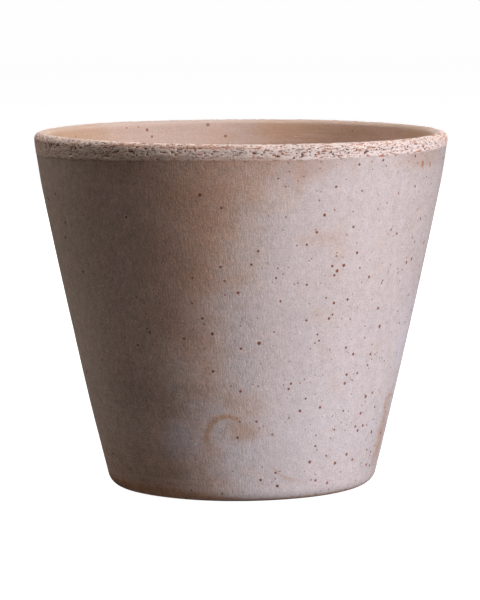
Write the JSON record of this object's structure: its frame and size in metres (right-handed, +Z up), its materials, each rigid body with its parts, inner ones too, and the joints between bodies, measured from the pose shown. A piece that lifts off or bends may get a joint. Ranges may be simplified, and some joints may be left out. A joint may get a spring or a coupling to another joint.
{
  "type": "flower pot",
  "caption": "Tapered round terracotta flower pot with a rounded rough lip, a steeper band below it, a rounded foot and a central drain hole.",
  "frame": {"origin": "centre of the foot, on the plane that the pot stands on", "axes": "+Z up along the pot's own axis of revolution; X and Y are horizontal and equivalent"},
  "size_m": [0.18, 0.18, 0.1543],
  "materials": {
    "terracotta": "matte unglazed"
  },
  "bodies": {
    "root": {"pot": "terracotta"}
  },
  "joints": []
}
